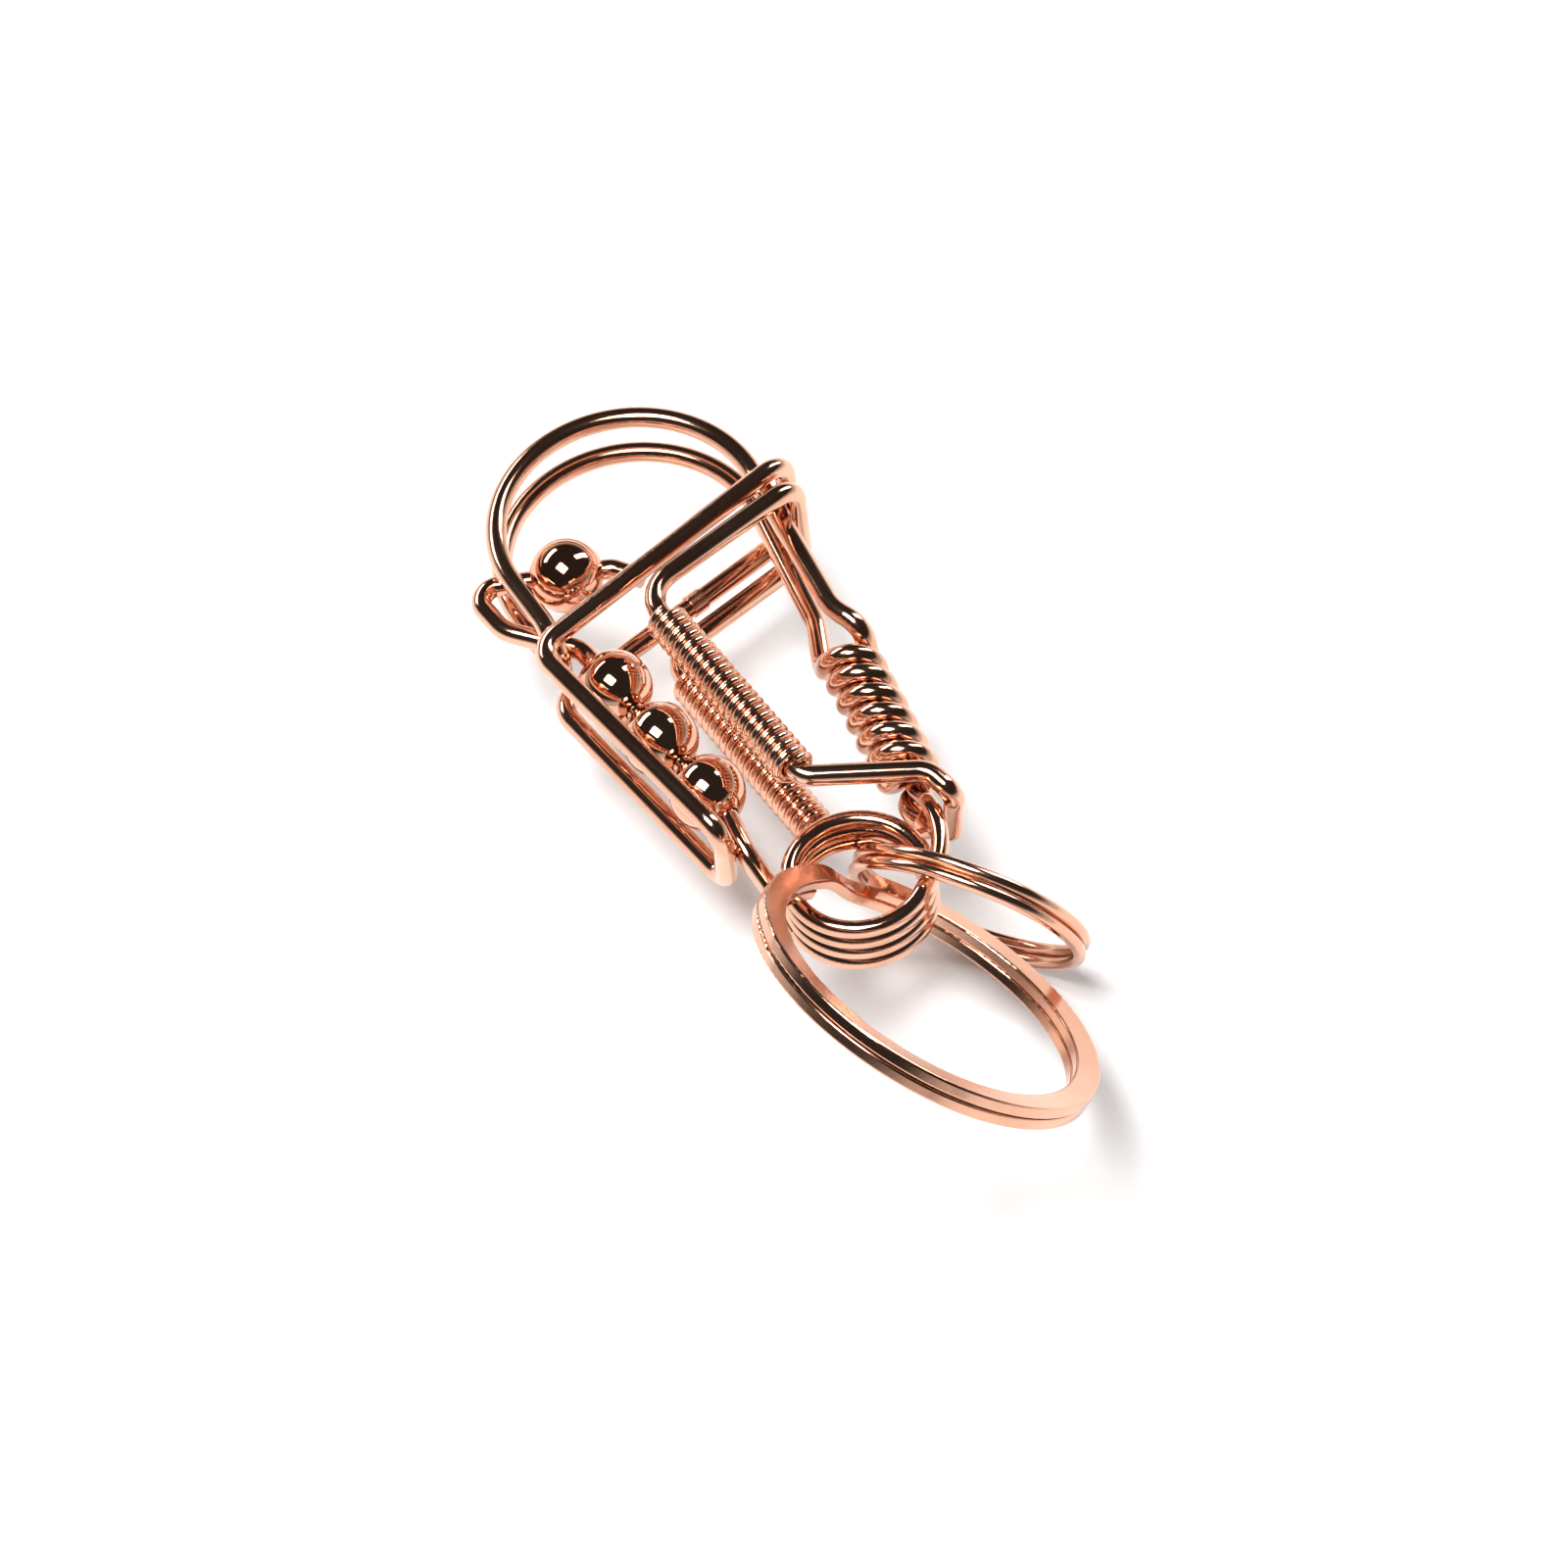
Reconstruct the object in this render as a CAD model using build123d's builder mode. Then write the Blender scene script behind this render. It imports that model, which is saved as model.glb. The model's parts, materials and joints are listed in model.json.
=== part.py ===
from build123d import *
import os
from math import acos, atan2, cos, hypot, pi, radians, sin

# Wire key clip, millimetres. The origin is the middle of the spring's eye, +Z is square to
# the clip's flat side, and +Y points from the eye to the middle of the hook.

# Wires
wire_d = 1.7
spring_wire_d = 1.4
arm_wire_d = 1.66
sleeve_wire_d = 0.76

# Hook: two equal arcs, one above and one below the middle plane, joined at the tip
hook_centre = (-1.3, 38.5)
hook_radius = 10.7
hook_level = 2.25
tip_x = -11.5
tip_bend_y = 33.0
tip_end_y = 29.95
tip_radius = 2.1

# Spine: both legs of the hook wind round the spring's straight leg, turn about
upper_leg_bend = (9.1, 23.2)
lower_leg_bend = (8.5, 25.5)
leg_bend_radius = 4.0
wind_top = (8.6, 19.8)
wind_foot = (7.8, 6.6)
wind_radius = 1.76
wind_turns = 3.25
wind_lead_radius = 2.2
tail_run = 1.3
tail_end = (7.3, 4.2, -1.5)

# Spring: straight leg, eye coiled on Z, then the arm
eye_radius = 5.35
eye_pitch = 1.41
eye_full_turns = 3
eye_start_angle = -55.0
eye_end_angle = -180.0
eye_start_z = 2.1
leg_above_wind = 0.9
leg_below_wind = 1.0
leg_rise_at = (7.42, 3.0)
leg_to_eye = 5.1
leg_rise_radius = 1.2
leg_sweep_radius = 7.6

# Spring arm, its trigger loop and its beads
arm_start = (-5.35, 0.0, -2.87)
arm_rise = ((-5.35, 3.2, -2.87), (-6.45, 7.5, 0.0), (-6.1, 10.6, 0.0))
arm_head = (-9.41, 30.5, 0.0)
arm_loop = ((-14.1, 35.2, 0.0), (-15.0, 40.25, 0.0), (-3.9, 36.7, 0.0), (-2.2, 34.6, 0.0))
arm_radii = (2.5, 4.0, 6.0, 2.0, 3.0, 1.5, 1.4)
bead_d = 6.0
bead_bore_d = 1.8
bead_distances = (2.85, 9.25, 15.6)
stop_bead_from_end = 3.68

# Lever frame: a closed loop, an L seen from above; its lower half sits a little inside
lever_upper = ((11.5, 36.65, 4.6), (-13.5, 29.35, 4.1), (-8.2, 6.4, 4.1))
lever_lower = ((11.5, 36.4, -4.6), (-12.5, 29.55, -4.1), (-7.85, 7.85, -4.1))
lever_radii = (1.9, 2.2, 1.9)
weld_from_corner = 14.6
joint_gap = 0.02
weld_d = 1.96
weld_length = 1.3

# Keeper frame: a closed loop round the spine at both ends
keeper_upper = (
    (11.1, 33.8, 4.85),
    (-4.0, 29.85, 4.85),
    (-0.7, 8.1, 4.85),
    (8.2, 4.3, 4.3),
    (9.15, 1.7, 3.8),
)
keeper_lower = (
    (11.1, 33.8, -4.85),
    (-2.6, 30.05, -4.85),
    (0.7, 8.1, -4.85),
    (8.3, 4.9, -4.2),
    (9.2, 2.9, -2.8),
)
keeper_radii = (1.9, 3.0, 1.6, 2.0, 1.3)
keeper_joint_from_corner = 7.0

# Spring sleeves on the keeper frame's long bars
sleeve_clearance = 0.06
sleeve_pitch = 0.82
sleeve_turns = 22
sleeve_from_corner = 3.2

# Split rings: two flat turns each, joined by a short step, tilted through the eye
large_centre = (-0.59, -12.99, 2.5)
large_tilt = 43.3
large_heading = 12.1
large_split_heading = 88.0
large_radius = 13.56
large_width = 2.0
large_thickness = 0.98
small_centre = (7.7, -2.73, -4.87)
small_tilt = 72.7
small_heading = 40.9
small_split_heading = 60.0
small_radius = 9.25
small_wire_d = 1.05
split_gap = 0.03
split_half_angle = 14.0
step_lead = 0.3
step_bend = 2.4


def export(part, label):
    """Name a finished piece and write its STEP file."""
    part.label = label
    export_step(part, f"parts/{label}.step")


def tube(path, diameter, coiled=False):
    """Sweep a round wire along a path, inside a part block."""
    with BuildSketch(Plane(origin=path @ 0, z_dir=path % 0)) as section:
        Circle(diameter / 2)
    sweep(section.sketch, path=path, is_frenet=coiled)


def frame(label, upper, lower, radii, joint_from_corner):
    """A frame bent from one wire, whose ends butt on the lower half's first run."""
    run = (Vector(*lower[0]) - Vector(*lower[1])).normalized()
    joint = Vector(*lower[1]) + run * joint_from_corner
    start = joint + run * joint_gap / 2
    end = joint - run * joint_gap / 2
    points = [start, lower[0], *upper, *reversed(lower[1:]), end]
    with BuildPart() as bent:
        with BuildLine() as line:
            FilletPolyline(*points, radius=[radii[0], *radii, *reversed(radii[1:])])
        tube(line.wire(), wire_d)
    export(bent.part, label)


def tangent_angle(outside, side):
    """Where a line from an outside point runs onto the hook's circle, as an angle."""
    dx, dy = outside[0] - hook_centre[0], outside[1] - hook_centre[1]
    return atan2(dy, dx) + side * acos(hook_radius / hypot(dx, dy))


def on_hook(angle, z):
    """A point of one of the hook's arcs."""
    x = hook_centre[0] + hook_radius * cos(angle)
    return (x, hook_centre[1] + hook_radius * sin(angle), z)


def wind_plane(side):
    """The plane that one leg's winding starts in: side 1 starts right, -1 left."""
    along = Vector(*wind_foot) - Vector(*wind_top)
    return Plane(origin=(*wind_top, 0), x_dir=(side, 0, 0), z_dir=along)


def winding(side):
    """One leg's winding as a curve, placed on the spine."""
    length = (Vector(*wind_foot) - Vector(*wind_top)).length
    coil = Helix(length / wind_turns, length, wind_radius, lefthand=True)
    return wind_plane(side).location * coil


def leg_points(side, bend):
    """One leg of the hook, from the start of its winding up to the arc."""
    coil = winding(side)
    z = side * hook_level
    start = coil @ 0
    lead = start - (coil % 0) * (abs(z) / abs((coil % 0).Z))
    top = on_hook(tangent_angle(bend, 1), z)
    return [start, lead, (*bend, z), top]


def eye_plane():
    """The plane that the eye's coil starts in; it winds clockwise and down."""
    start = radians(eye_start_angle)
    return Plane(origin=(0, 0, eye_start_z), x_dir=(cos(start), sin(start), 0), z_dir=(0, 0, -1))


def eye_curve():
    """The eye's coil as a curve."""
    turns = eye_full_turns + (eye_start_angle - eye_end_angle) / 360
    return eye_plane().location * Helix(eye_pitch, eye_pitch * turns, eye_radius)


def ring_plane(centre, tilt, heading, split_heading):
    """The middle plane of a split ring, with its X axis towards the split."""
    lean, way, split = radians(tilt), radians(heading), radians(split_heading)
    normal = Vector(sin(lean) * cos(way), sin(lean) * sin(way), cos(lean))
    towards = Vector(cos(split), sin(split), 0)
    return Plane(origin=centre, x_dir=towards - normal * towards.dot(normal), z_dir=normal)


def ring_point(radius, angle, z):
    """A point on a split ring's turn, and the direction that the turn runs there."""
    way = radians(angle)
    return Vector(radius * cos(way), radius * sin(way), z), Vector(-sin(way), cos(way), 0)


def ring_line(plane, radius, pitch):
    """A split ring's path: the lower turn, the step up, then the upper turn."""
    half, size = split_half_angle, 360 - 2 * split_half_angle
    low, low_way = ring_point(radius, -half, -pitch / 2)
    high, high_way = ring_point(radius, half, pitch / 2)
    lead = step_lead * (high - low).length
    with BuildLine() as line:
        CenterArc((0, 0, -pitch / 2), radius, half, size)
        FilletPolyline(
            low,
            low + low_way * lead,
            high - high_way * lead,
            high,
            radius=step_bend * lead,
        )
        CenterArc((0, 0, pitch / 2), radius, half, size)
    return line.wire().moved(plane.location)


def bead(label, middle, along, diameter):
    """A ball with a hole along the wire that it sits on."""
    with BuildPart(Plane(origin=middle, z_dir=along)) as ball:
        Sphere(diameter / 2)
        Cylinder(bead_bore_d / 2, diameter, mode=Mode.SUBTRACT)
    export(ball.part, label)


def sleeve(label, corner, heel):
    """A close-wound spring sleeve on one of the keeper frame's long bars."""
    along = (Vector(*heel) - Vector(*corner)).normalized()
    origin = Vector(*corner) + along * sleeve_from_corner
    start = Plane(origin=origin, x_dir=(0, 0, 1), z_dir=along)
    radius = wire_d / 2 + sleeve_clearance + sleeve_wire_d / 2
    coil = start.location * Helix(sleeve_pitch, sleeve_pitch * sleeve_turns, radius)
    with BuildPart() as wound:
        tube(coil, sleeve_wire_d, coiled=True)
    export(wound.part, label)


os.makedirs("parts", exist_ok=True)

# Hook wire: winding leg, arc, tip, arc, winding leg
upper_leg = leg_points(1, upper_leg_bend)
lower_leg = leg_points(-1, lower_leg_bend)
tip_angle = tangent_angle((tip_x, tip_bend_y), -1)
with BuildPart() as hook_wire:
    with BuildLine() as hook_line:
        FilletPolyline(*upper_leg, radius=[wind_lead_radius, leg_bend_radius])
        for side, bend in ((1, upper_leg_bend), (-1, lower_leg_bend)):
            arc_start = tangent_angle(bend, 1)
            arc_size = (tip_angle - arc_start) % (2 * pi)
            centre = (*hook_centre, side * hook_level)
            CenterArc(centre, hook_radius, arc_start * 180 / pi, arc_size * 180 / pi)
        FilletPolyline(
            on_hook(tip_angle, hook_level),
            (tip_x, tip_bend_y, hook_level),
            (tip_x, tip_end_y, hook_level),
            (tip_x, tip_end_y, -hook_level),
            (tip_x, tip_bend_y, -hook_level),
            on_hook(tip_angle, -hook_level),
            radius=[leg_bend_radius, tip_radius, tip_radius, leg_bend_radius],
        )
        FilletPolyline(*lower_leg, radius=[wind_lead_radius, leg_bend_radius])
    tube(hook_line.wire(), wire_d)
export(hook_wire.part, "hook_wire")

# Windings: the two legs round the spring's leg; the upper one ends in a short tail
upper_winding = winding(1)
tail_start = upper_winding @ 1
tail_bend = tail_start + (upper_winding % 1) * tail_run
with BuildPart() as hook_windings:
    tube(upper_winding, wire_d, coiled=True)
    with BuildLine() as tail_line:
        FilletPolyline(tail_start, tail_bend, tail_end, radius=tail_run * 0.9)
    tube(tail_line.wire(), wire_d)
    tube(winding(-1), wire_d, coiled=True)
export(hook_windings.part, "hook_windings")

# Spring leg: straight through the windings, then round into the eye
eye = eye_curve()
wind_axis = (Vector(*wind_foot) - Vector(*wind_top)).normalized()
leg_top = Vector(*wind_top) - wind_axis * leg_above_wind
leg_foot = Vector(*wind_foot) + wind_axis * leg_below_wind
eye_lead = eye @ 0 - (eye % 0) * leg_to_eye
with BuildPart() as spring_leg:
    with BuildLine() as leg_line:
        FilletPolyline(
            leg_top,
            leg_foot,
            (*leg_rise_at, eye_lead.Z),
            eye_lead,
            eye @ 0,
            radius=[leg_rise_radius, leg_rise_radius, leg_sweep_radius],
        )
    tube(leg_line.wire(), spring_wire_d)
export(spring_leg.part, "spring_leg")

# Eye: the close torsion coil
with BuildPart() as spring_eye:
    tube(eye, spring_wire_d, coiled=True)
export(spring_eye.part, "spring_eye")

# Spring arm: out of the eye, up through the beads, round the trigger loop
arm_points = [arm_start, *arm_rise, arm_head, *arm_loop]
with BuildPart() as spring_arm:
    with BuildLine() as arm_line:
        FilletPolyline(*arm_points, radius=list(arm_radii))
    tube(arm_line.wire(), arm_wire_d)
export(spring_arm.part, "spring_arm")

# Beads on the arm's straight run, and the stop bead on the loop's inner run
bead_run = Vector(*arm_head) - Vector(*arm_rise[2])
for label, distance in zip(("lower_bead", "middle_bead", "upper_bead"), bead_distances):
    middle = Vector(*arm_rise[2]) + bead_run.normalized() * distance
    bead(label, middle, bead_run, bead_d)
stop_run = Vector(*arm_loop[2]) - Vector(*arm_loop[1])
stop_middle = Vector(*arm_loop[2]) - stop_run.normalized() * stop_bead_from_end
bead("stop_bead", stop_middle, stop_run, bead_d)

frame("lever_frame", lever_upper, lever_lower, lever_radii, weld_from_corner)

# Weld: the bead of metal where the lever frame's ends meet, on its lower bar
weld_run = (Vector(*lever_lower[0]) - Vector(*lever_lower[1])).normalized()
weld_middle = Vector(*lever_lower[1]) + weld_run * weld_from_corner
with BuildPart(Plane(origin=weld_middle, z_dir=weld_run)) as weld:
    Cylinder(weld_d / 2, weld_length)
    Cylinder(wire_d / 2, weld_length, mode=Mode.SUBTRACT)
export(weld.part, "lever_weld")

frame("keeper_frame", keeper_upper, keeper_lower, keeper_radii, keeper_joint_from_corner)
sleeve("upper_sleeve", keeper_upper[1], keeper_upper[2])
sleeve("lower_sleeve", keeper_lower[1], keeper_lower[2])

# Large split ring: flat wire
large_plane = ring_plane(large_centre, large_tilt, large_heading, large_split_heading)
large_line = ring_line(large_plane, large_radius, large_thickness + split_gap)
with BuildPart() as large_ring:
    with BuildSketch(Plane(large_line @ 0, x_dir=large_plane.z_dir, z_dir=large_line % 0)):
        RectangleRounded(large_thickness, large_width, large_thickness * 0.2)
    sweep(path=large_line)
export(large_ring.part, "large_split_ring")

# Small split ring: round wire
small_plane = ring_plane(small_centre, small_tilt, small_heading, small_split_heading)
with BuildPart() as small_ring:
    tube(ring_line(small_plane, small_radius, small_wire_d + split_gap), small_wire_d)
export(small_ring.part, "small_split_ring")
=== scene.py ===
"""Looks for the wire key clip: rose-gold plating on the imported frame, a pale floor and soft lights."""
import json
from math import cos, radians, sin

import bpy
from mathutils import Matrix, Vector


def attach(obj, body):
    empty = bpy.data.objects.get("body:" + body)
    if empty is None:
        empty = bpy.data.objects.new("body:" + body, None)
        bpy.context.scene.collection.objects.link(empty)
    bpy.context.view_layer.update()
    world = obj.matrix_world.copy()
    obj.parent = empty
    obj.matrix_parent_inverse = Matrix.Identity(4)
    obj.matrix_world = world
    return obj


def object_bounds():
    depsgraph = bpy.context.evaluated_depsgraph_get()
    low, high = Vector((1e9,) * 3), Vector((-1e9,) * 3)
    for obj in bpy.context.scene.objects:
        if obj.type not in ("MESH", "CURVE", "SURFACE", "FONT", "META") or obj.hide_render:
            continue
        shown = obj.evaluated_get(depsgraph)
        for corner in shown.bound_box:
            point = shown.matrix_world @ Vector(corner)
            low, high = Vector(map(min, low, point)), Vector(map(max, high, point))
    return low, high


MM = 0.001

# Camera: where it stands and how it is turned, in the part's frame
CAMERA_AT = Vector((-100.2, -261.4, 407.1)) * MM
CAMERA_RIGHT = Vector((0.899, -0.433, -0.071))
CAMERA_UP = Vector((0.390, 0.718, 0.576))
CAMERA_LENS = 148.5

# Plating colours, linear: the light, worn tone and the deeper, redder one
PLATE_LIGHT = (0.80, 0.47, 0.33, 1.0)
PLATE_DEEP = (0.66, 0.33, 0.21, 1.0)

# The coil's last few degrees, which slide out of the eye as the arm turns
EYE_RADIUS = 5.35 * MM
EYE_PITCH = 1.41 * MM
EYE_END_Z = -2.62 * MM
TONGUE_WIRE_RADIUS = 0.68 * MM
TONGUE_FROM, TONGUE_TO = 180, 195
TONGUE_STEPS = 16

FLOOR_SIZE = 6.0
FLOOR_GAP = 0.2 * MM


def add(nodes, kind, **inputs):
    """A shader node with some of its inputs set."""
    node = nodes.new(kind)
    for name, value in inputs.items():
        node.inputs[name.replace("_", " ")].default_value = value
    return node


def plated(name, roughness, scratch, tone_scale):
    """Polished rose-gold plating: drifting tone, faint smudges and hair-fine rub marks."""
    material = bpy.data.materials.new(name)
    material.use_nodes = True
    nodes, links = material.node_tree.nodes, material.node_tree.links
    shader = nodes["Principled BSDF"]
    shader.inputs["Metallic"].default_value = 1.0
    place = nodes.new("ShaderNodeTexCoord")

    tone = add(nodes, "ShaderNodeTexNoise", Scale=tone_scale, Detail=4.0, Roughness=0.55)
    ramp = nodes.new("ShaderNodeValToRGB")
    ramp.color_ramp.elements[0].position = 0.32
    ramp.color_ramp.elements[0].color = PLATE_DEEP
    ramp.color_ramp.elements[1].position = 0.62
    ramp.color_ramp.elements[1].color = PLATE_LIGHT
    links.new(place.outputs["Object"], tone.inputs["Vector"])
    links.new(tone.outputs["Fac"], ramp.inputs["Fac"])
    links.new(ramp.outputs["Color"], shader.inputs["Base Color"])

    smudge = add(nodes, "ShaderNodeTexNoise", Scale=tone_scale * 3.0, Detail=6.0, Roughness=0.6)
    spread = nodes.new("ShaderNodeMapRange")
    spread.inputs["To Min"].default_value = roughness * 0.7
    spread.inputs["To Max"].default_value = roughness * 1.5
    links.new(place.outputs["Object"], smudge.inputs["Vector"])
    links.new(smudge.outputs["Fac"], spread.inputs["Value"])
    links.new(spread.outputs["Result"], shader.inputs["Roughness"])

    stretch = nodes.new("ShaderNodeMapping")
    stretch.inputs["Scale"].default_value = (900.0, 5200.0, 2600.0)
    rub = add(nodes, "ShaderNodeTexNoise", Scale=1.0, Detail=5.0, Roughness=0.7)
    bump = add(nodes, "ShaderNodeBump", Strength=scratch, Distance=0.00002)
    links.new(place.outputs["Object"], stretch.inputs["Vector"])
    links.new(stretch.outputs["Vector"], rub.inputs["Vector"])
    links.new(rub.outputs["Fac"], bump.inputs["Height"])
    links.new(bump.outputs["Normal"], shader.inputs["Normal"])
    return material


def smooth(obj):
    """Rounds the shading without touching the mesh. The flat wire of the large ring is not passed here,
    which keeps its edges.
    """
    modifier = obj.modifiers.new("smooth", "NODES")
    tree = bpy.data.node_groups.new("smooth_" + obj.name, "GeometryNodeTree")
    tree.interface.new_socket("Geometry", in_out="INPUT", socket_type="NodeSocketGeometry")
    tree.interface.new_socket("Geometry", in_out="OUTPUT", socket_type="NodeSocketGeometry")
    entry, leave = tree.nodes.new("NodeGroupInput"), tree.nodes.new("NodeGroupOutput")
    shade = tree.nodes.new("GeometryNodeSetShadeSmooth")
    tree.links.new(entry.outputs[0], shade.inputs["Geometry"])
    tree.links.new(shade.outputs[0], leave.inputs[0])
    modifier.node_group = tree


def tongue(material):
    """The end of the coil: it lies in the eye's wire at rest and fills the gap as the arm turns."""
    curve = bpy.data.curves.new("coil_tongue", "CURVE")
    curve.dimensions = "3D"
    curve.bevel_depth = TONGUE_WIRE_RADIUS
    curve.bevel_resolution = 8
    curve.use_fill_caps = True
    line = curve.splines.new("POLY")
    line.points.add(TONGUE_STEPS)
    for i, point in enumerate(line.points):
        degrees = TONGUE_FROM + (TONGUE_TO - TONGUE_FROM) * i / TONGUE_STEPS
        rise = EYE_PITCH * (degrees - TONGUE_FROM) / 360
        angle = radians(degrees)
        point.co = (EYE_RADIUS * cos(angle), EYE_RADIUS * sin(angle), EYE_END_Z + rise, 1)
    obj = bpy.data.objects.new("coil_tongue", curve)
    bpy.context.scene.collection.objects.link(obj)
    curve.materials.append(material)
    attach(obj, "arm")


def floor(z):
    """A plain pale floor that fills every view."""
    bpy.ops.mesh.primitive_plane_add(size=FLOOR_SIZE, location=(0, 0, z))
    plane = bpy.context.object
    plane.name = "floor"
    material = bpy.data.materials.new("floor_paper")
    material.use_nodes = True
    shader = material.node_tree.nodes["Principled BSDF"]
    shader.inputs["Base Color"].default_value = (0.92, 0.92, 0.92, 1)
    shader.inputs["Roughness"].default_value = 0.9
    plane.data.materials.append(material)


def softbox(name, at, size, watts, target):
    """A rectangular soft light that faces a point."""
    lamp = bpy.data.lights.new(name, "AREA")
    lamp.shape = "RECTANGLE"
    lamp.size, lamp.size_y = size
    lamp.energy = watts
    obj = bpy.data.objects.new(name, lamp)
    obj.location = at
    obj.rotation_euler = (Vector(target) - Vector(at)).to_track_quat("-Z", "Y").to_euler()
    bpy.context.scene.collection.objects.link(obj)


def surroundings():
    """A studio that is pale at the horizon and dark overhead, which draws the dark stripes."""
    world = bpy.data.worlds.new("studio")
    world.use_nodes = True
    nodes, links = world.node_tree.nodes, world.node_tree.links
    place = nodes.new("ShaderNodeTexCoord")
    parts = nodes.new("ShaderNodeSeparateXYZ")
    ramp = nodes.new("ShaderNodeValToRGB")
    ramp.color_ramp.elements[0].position = 0.05
    ramp.color_ramp.elements[0].color = (0.85, 0.85, 0.85, 1)
    ramp.color_ramp.elements[1].position = 0.30
    ramp.color_ramp.elements[1].color = (0.03, 0.03, 0.03, 1)
    links.new(place.outputs["Generated"], parts.inputs["Vector"])
    links.new(parts.outputs["Z"], ramp.inputs["Fac"])
    links.new(ramp.outputs["Color"], nodes["Background"].inputs["Color"])
    bpy.context.scene.world = world


def camera():
    """A long lens at the product shot's angle, with its small roll."""
    data = bpy.data.cameras.new("camera")
    data.lens = CAMERA_LENS
    data.sensor_width = 36
    data.clip_start = 0.01
    obj = bpy.data.objects.new("camera", data)
    right = CAMERA_RIGHT.normalized()
    back = right.cross(CAMERA_UP).normalized()
    turn = Matrix((right, back.cross(right), back)).transposed().to_4x4()
    obj.matrix_world = Matrix.Translation(CAMERA_AT) @ turn
    bpy.context.scene.collection.objects.link(obj)
    bpy.context.scene.camera = obj


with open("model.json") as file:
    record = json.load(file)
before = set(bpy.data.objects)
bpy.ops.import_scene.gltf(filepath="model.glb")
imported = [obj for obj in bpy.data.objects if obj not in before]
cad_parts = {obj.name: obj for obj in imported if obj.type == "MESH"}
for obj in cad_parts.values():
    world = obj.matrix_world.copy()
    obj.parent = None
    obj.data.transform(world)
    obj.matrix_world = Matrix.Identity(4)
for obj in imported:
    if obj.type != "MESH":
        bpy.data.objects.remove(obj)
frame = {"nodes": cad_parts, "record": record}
cad_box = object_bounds()

wire = plated("plated_wire", roughness=0.11, scratch=0.25, tone_scale=90.0)
spring = plated("plated_spring", roughness=0.10, scratch=0.22, tone_scale=110.0)
sleeve = plated("plated_sleeve", roughness=0.14, scratch=0.25, tone_scale=160.0)
bead = plated("plated_bead", roughness=0.045, scratch=0.06, tone_scale=60.0)
weld = plated("plated_weld", roughness=0.22, scratch=0.5, tone_scale=300.0)
ring = plated("plated_ring", roughness=0.13, scratch=0.35, tone_scale=80.0)
finishes = {
    "frame_wire": wire,
    "spring_wire": spring,
    "sleeve_wire": sleeve,
    "bead": bead,
    "weld": weld,
    "ring": ring,
}
slots = {entry["node"]: entry["material_slot"] for entry in frame["record"]["subparts"]}
for node, obj in frame["nodes"].items():
    material = finishes[slots[node]]
    if not obj.material_slots:
        obj.data.materials.append(None)
    for holder in obj.material_slots:
        holder.link = "OBJECT"
        holder.material = material
    if node != "large_split_ring":
        smooth(obj)
tongue(spring)

floor(cad_box[0][2] - FLOOR_GAP)
surroundings()
middle = Vector((0, 12 * MM, 0))
softbox("key", (-0.16, -0.05, 0.62), (0.34, 0.24), 5.0, middle)
softbox("side", (0.52, 0.20, 0.38), (0.14, 0.44), 2.2, middle)
softbox("back", (-0.20, 0.58, 0.34), (0.46, 0.12), 1.8, middle)
camera()
bpy.context.scene.view_settings.view_transform = "Standard"
